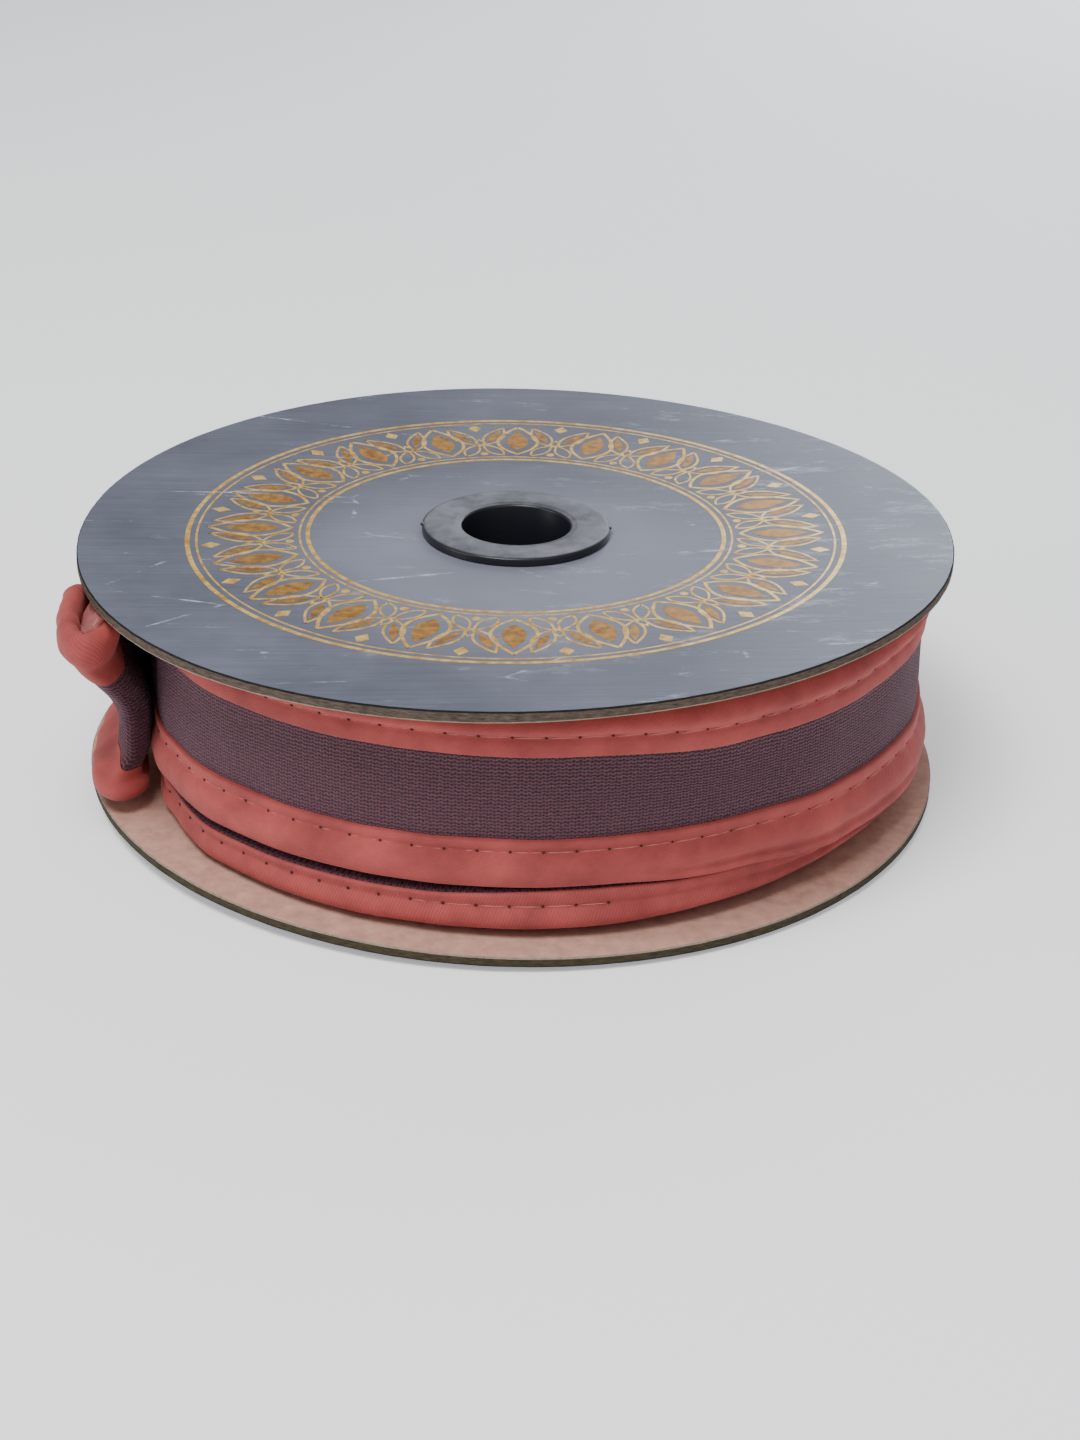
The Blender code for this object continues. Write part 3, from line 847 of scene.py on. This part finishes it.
def stitch_piece(name, material, half_size, offset, sink_at):
    """One small rounded shape for each row, copied at every stitch round the roll."""
    bm = bmesh.new()
    row_layer = bm.verts.layers.int.new("row")
    for row in range(3):
        made = bmesh.ops.create_uvsphere(bm, u_segments=8, v_segments=6, radius=1.0)["verts"]
        for vert in made:
            vert[row_layer] = row
            vert.co = Vector((vert.co.x * half_size[0], vert.co.y * half_size[1] - ROLL_RADIUS,
                              vert.co.z * half_size[2]))
    count = round(around_length / STITCH_PITCH)
    bmesh.ops.spin(bm, geom=list(bm.faces), cent=(0, 0, 0), axis=(0, 0, 1), use_duplicate=True,
                   angle=math.tau * (count - 1) / count, steps=count - 1)
    buried = []
    for vert in bm.verts:
        turn = math.atan2(vert.co.x, -vert.co.y)
        index = round(turn / math.tau * count)
        bearing = math.degrees((index + offset) * math.tau / count)
        bearing = (bearing + 180) % 360 - 180
        radius, height = stitch_line(vert[row_layer], bearing)
        sink = sink_at(vert[row_layer], bearing)
        if sink is None:
            buried.append(vert)
            continue
        vert.co.xy *= (vert.co.xy.length + radius - ROLL_RADIUS - sink) / vert.co.xy.length
        vert.co.z += height
    bmesh.ops.delete(bm, geom=buried, context="VERTS")
    bmesh.ops.rotate(bm, verts=bm.verts, cent=(0, 0, 0),
                     matrix=Matrix.Rotation(offset * math.tau / count, 3, "Z"))
    bmesh.ops.recalc_face_normals(bm, faces=bm.faces)
    return make_piece(name, bm, (material,))


def hole_sink(row, bearing):
    """How deep a needle hole lies: deeper at the right. None means that there is no hole."""
    if row == 2 and FOLDED_IN[0] < bearing < FOLDED_IN[1]:
        return None
    return (0.14 + 0.13 * eased(bearing, 12, 37)) * MM


def thread_sink(row, bearing):
    """How deep a thread lies: pulled in at the left, lying on the cloth at the right."""
    if row == 2 and (FOLDED_IN[0] < bearing < FOLDED_IN[1] or bearing < THREAD_STARTS):
        return None
    return (0.10 - 0.10 * eased(bearing, -14, 4)) * MM


stitch_piece("needle_holes", shaded_needle_hole, (0.38 * MM, 0.30 * MM, 0.34 * MM), 0.0, hole_sink)
stitch_piece("stitch_threads", thread, (2.9 * MM, 0.13 * MM, 0.12 * MM), 0.5, thread_sink)

# %% [markdown]
# ## The folded loose end
# The last of the trim hangs loose at the left: it leaves the roll, turns on itself at the front
# and runs back outside. Each strip is a section carried along the line that the frame's table
# gives, station by station, by extruding its outline.

# %% The loose end's table
TAIL_LINE = (
    # These are millimetres: where three lines stand, and how high the lips and the crown are.
    # lower_x, lower_y, net_x, net_y, upper_x, upper_y, lower_lip, upper_lip, upper_crown
    (-86.2, 3.0, -84.7, 3.0, -85.6, 3.0, 24.0, 46.0, 55.0),
    (-88.2, -6.0, -85.6, -6.0, -88.4, -5.0, 18.0, 45.4, 54.8),
    (-88.9, -13.0, -87.0, -12.0, -90.6, -13.0, 17.0, 44.4, 54.6),
    (-87.4, -24.0, -85.4, -21.0, -91.8, -24.0, 16.4, 44.0, 54.6),
    (-85.9, -32.0, -83.3, -29.0, -90.6, -35.0, 15.8, 42.8, 54.6),
    (-85.6, -38.8, -82.9, -35.6, -89.3, -44.2, 15.6, 41.2, 54.4),
    (-89.2, -42.4, -86.0, -40.6, -93.0, -51.6, 16.4, 39.8, 54.0),
    (-93.0, -39.2, -88.6, -38.0, -97.0, -48.8, 20.5, 41.0, 54.2),
    (-94.3, -31.4, -89.2, -30.2, -98.5, -41.4, 22.6, 43.0, 55.0),
    (-94.8, -22.0, -89.8, -21.0, -98.8, -33.8, 23.0, 44.2, 55.8),
    (-94.8, -13.0, -90.4, -12.0, -98.3, -28.0, 23.0, 44.8, 55.6),
    (-94.6, -8.0, -90.4, -7.0, -96.8, -24.4, 23.0, 44.0, 53.6),
    (-94.0, -4.0, -90.0, -3.0, -94.8, -22.4, 23.0, 43.0, 51.6),
)
LOWER_LINE_Z = 14.0 * MM
NET_LINE_LOW_Z = 20.0 * MM
NET_LINE_HIGH_Z = 28.0 * MM
UPPER_LINE_Z = 49.0 * MM


def tail_point(station, height):
    """Where the loose end's middle line stands at a height, between the table's three lines."""
    lower, net_line, upper = (Vector(station[i:i + 2]) for i in (0, 2, 4))
    if height < NET_LINE_LOW_Z:
        return lower.lerp(net_line, eased(height, LOWER_LINE_Z, NET_LINE_LOW_Z))
    return net_line.lerp(upper, eased(height, NET_LINE_HIGH_Z, UPPER_LINE_Z))


STATIONS_PER_ROW = 10
tail = [[value * MM for value in row]
        for row in curve_through(TAIL_LINE, STATIONS_PER_ROW * (len(TAIL_LINE) - 1))]
tail_lengths = [0.0]
for here, there in zip(tail, tail[1:]):
    tail_lengths.append(tail_lengths[-1] + math.hypot(there[2] - here[2], there[3] - here[3]))
print("the loose end's net is", round(tail_lengths[-1] / MM), "mm long and has", len(tail), "stations")

# %% A helper for strips of the loose end
WRINKLE_STATION = 56
WRINKLE_REACH = 16
WRINKLE_DEPTH = 0.65 * MM


def wrinkle(index, height):
    """The small creases that gather inside the bend near the upper piping's crown, as a depth."""
    bend = math.exp(-((index - WRINKLE_STATION) / WRINKLE_REACH) ** 2)
    high = eased(height, 44 * MM, 52 * MM)
    wave = math.sin(index * 0.95 + 2.2 * noise.noise(Vector((index * 0.13, height * 300, 1.0))))
    return WRINKLE_DEPTH * bend * high * wave


def strip(name, shape_at, material, node, ripple=0.0, creased=False):
    """A strip of the loose end. shape_at gives a station's (height, half thickness) up one side."""
    lengths = [0.0]
    heights = [height for height, _ in shape_at(tail[0])]
    height = sum(heights) / len(heights)
    for here, there in zip(tail, tail[1:]):
        lengths.append(lengths[-1] + (tail_point(there, height) - tail_point(here, height)).length)
    rings = []
    for index, station in enumerate(tail):
        before, after = tail[max(0, index - 1)], tail[min(len(tail) - 1, index + 1)]
        sides = ([], [])
        for height, half in shape_at(station):
            middle = tail_point(station, height)
            along = (tail_point(after, height) - tail_point(before, height)).normalized()
            turned = Vector((-along.y, along.x))
            shift = noise.noise(Vector((tail_lengths[index] * 260, height * 180, 3.7))) * ripple
            inner = wrinkle(index, height) if creased else 0.0
            sides[0].append((*(middle + turned * (half + shift - inner * 0.12)), height))
            sides[1].append((*(middle - turned * (half - shift - inner)), height))
        rings.append(sides[0] + sides[1][::-1])
    bm = bmesh.new()
    row = bm.verts.layers.int.new("row")
    station_layer = bm.verts.layers.int.new("station")
    verts = [bm.verts.new(point) for point in rings[0]]
    for index, vert in enumerate(verts):
        vert[row] = index
    edges = [bm.edges.new(pair) for pair in zip(verts, verts[1:] + verts[:1])]
    bm.faces.new(verts)
    for number, points in enumerate(rings[1:], 1):
        grown = bmesh.ops.extrude_edge_only(bm, edges=edges)["geom"]
        verts = [item for item in grown if isinstance(item, bmesh.types.BMVert)]
        fresh = set(verts)
        edges = [item for item in grown if isinstance(item, bmesh.types.BMEdge)
                 and item.verts[0] in fresh and item.verts[1] in fresh]
        for vert in verts:
            vert.co = points[vert[row]]
            vert[station_layer] = number
    bm.faces.new(sorted(verts, key=lambda vert: vert[row]))
    bmesh.ops.recalc_face_normals(bm, faces=bm.faces)
    layer = bm.loops.layers.uv.new("trim_metres")
    across = [0.0]
    for here, there in zip(rings[0], rings[0][1:]):
        across.append(across[-1] + math.dist(here, there))
    for face in bm.faces:
        for loop in face.loops:
            loop[layer].uv = (lengths[loop.vert[station_layer]], across[loop.vert[row]])
    return make_piece(name, bm, (material,), (node,))


def piping_side(cord_z, lip_z, cord_half, lip_half=0.75 * MM):
    """The side of a piping from the cord's far side to the lip's edge, lowest point first."""
    shape = [(0.0, 0.10), (0.03, 0.50), (0.12, 0.86), (0.24, 1.0), (0.40, 0.96), (0.54, 0.72),
             (0.64, 0.42)]
    rows = [(cord_z + share * (lip_z - cord_z), half * cord_half) for share, half in shape]
    rows += [(cord_z + share * (lip_z - cord_z), lip_half) for share in (0.74, 0.9, 1.0)]
    return sorted(curve_through(rows, 26))


# %% The loose end's three strips
def tail_net_side(station):
    """The net between the two lips, tucked a little into each."""
    low, high = station[6] - 0.8 * MM, station[7] + 0.8 * MM
    return [(low + (high - low) * step / 26, 0.45 * MM) for step in range(27)]


tail_lower = strip("loose_lower_piping", lambda station: piping_side(8.8 * MM, station[6], 2.3 * MM),
                   coral, "tail_piping_lower", ripple=0.3 * MM)
tail_upper = strip("loose_upper_piping", lambda station: piping_side(station[8], station[7], 2.5 * MM),
                   coral, "tail_piping_upper", ripple=0.5 * MM, creased=True)
tail_net = strip("loose_net", tail_net_side, net, "tail_tape", ripple=0.5 * MM)

# %% [markdown]
# ## Inside the fold
# The upper piping's two seam allowances crumple together inside the bend and close it from
# below. They're a small saddle between the two legs: a grid laid from one leg to the other,
# high at the outer leg, and roughened by noise.

# %% The crumple inside the fold
BEND_STATION = 62
NEAREST_REACH = 2
REACH_SPAN = 38
CRUMPLE_LINE_Z = 51 * MM
CRUMPLE_CROWN = 54.6
CRUMPLE_FALL = 4.6
CRUMPLE_DEPTH = 1.7
bm = bmesh.new()
bmesh.ops.create_grid(bm, x_segments=24, y_segments=10, size=0.5)
for vert in bm.verts:
    along, across = vert.co.x + 0.5, vert.co.y + 0.5
    reach = NEAREST_REACH + along * REACH_SPAN
    near, far = (tail_point(tail[int(max(0, min(len(tail) - 1, BEND_STATION + side * reach)))],
                            CRUMPLE_LINE_Z) for side in (-1, 1))
    spot = near.lerp(far, across)
    crumpled = CRUMPLE_DEPTH * noise.noise(Vector((along * 12, across * 7, 0.5)))
    vert.co = (spot.x, spot.y, (CRUMPLE_CROWN - CRUMPLE_FALL * smooth(across) + crumpled) * MM)
bmesh.ops.solidify(bm, geom=list(bm.faces), thickness=0.8 * MM)
bmesh.ops.recalc_face_normals(bm, faces=bm.faces)
lining_uv = bm.loops.layers.uv.new("trim_metres")
for face in bm.faces:
    for loop in face.loops:
        loop[lining_uv].uv = loop.vert.co.xy
crumple = make_piece("fold_crumple", bm, (pale_coral,))

# %% [markdown]
# ## What the cloth is
# The two nets are sheets of cloth: one is stretched round the roll and the other folded at the
# loose end.

# %% The sheets of cloth
print("the two nets are sheets of cloth")

# %% [markdown]
# ## Floor and light
# A pale floor and four large soft lamps stand in for a studio table. The strongest hangs over the
# front left, a low one lights the left side, a weak one fills from the right, and a cool one
# behind gives the paper its sheen. The world is a soft grey, and the floor glows slightly, because
# the photograph's background is almost white.

# %% The floor
bm = bmesh.new()
bmesh.ops.create_grid(bm, x_segments=2, y_segments=2, size=3.0)
floor_mesh = bpy.data.meshes.new("pale_floor")
bm.to_mesh(floor_mesh)
bm.free()
floor = bpy.data.objects.new("pale_floor", floor_mesh)
bpy.context.collection.objects.link(floor)
floor_finish, _, _ = new_material("pale_floor", Base_Color=colour("f7f7f6"), Roughness=0.9,
                                  Emission_Color=(1.0, 1.0, 1.0, 1.0), Emission_Strength=0.3)
floor_mesh.materials.append(floor_finish)
print("floor laid")

# %% The lamps
def lamp(name, place, aim, size, power, tint=(1.0, 1.0, 1.0)):
    """A square soft lamp that looks at a point of the reel."""
    data = bpy.data.lights.new(name, "AREA")
    data.energy = power
    data.size = size
    data.color = tint
    made = bpy.data.objects.new(name, data)
    bpy.context.collection.objects.link(made)
    made.location = place
    made.rotation_euler = (Vector(aim) - Vector(place)).to_track_quat("-Z", "Y").to_euler()


lamp("key_lamp", (-0.30, -0.50, 1.28), (0, 0, 0.03), 0.6, 19)
lamp("side_lamp", (-1.15, -0.35, 0.40), (-0.05, 0, 0.03), 0.5, 3.6)
lamp("fill_lamp", (0.6, -0.85, 0.85), (0, 0, 0.03), 0.8, 1.8)
lamp("back_lamp", (0.50, 1.05, 0.52), (0, 0, 0.03), 0.8, 6.5, (0.80, 0.88, 1.0))
world = bpy.data.worlds.new("studio")
world.use_nodes = True
world.node_tree.nodes["Background"].inputs[0].default_value = (0.85, 0.88, 0.92, 1.0)
world.node_tree.nodes["Background"].inputs[1].default_value = 0.45
bpy.context.scene.world = world
print("four lamps and a soft world")
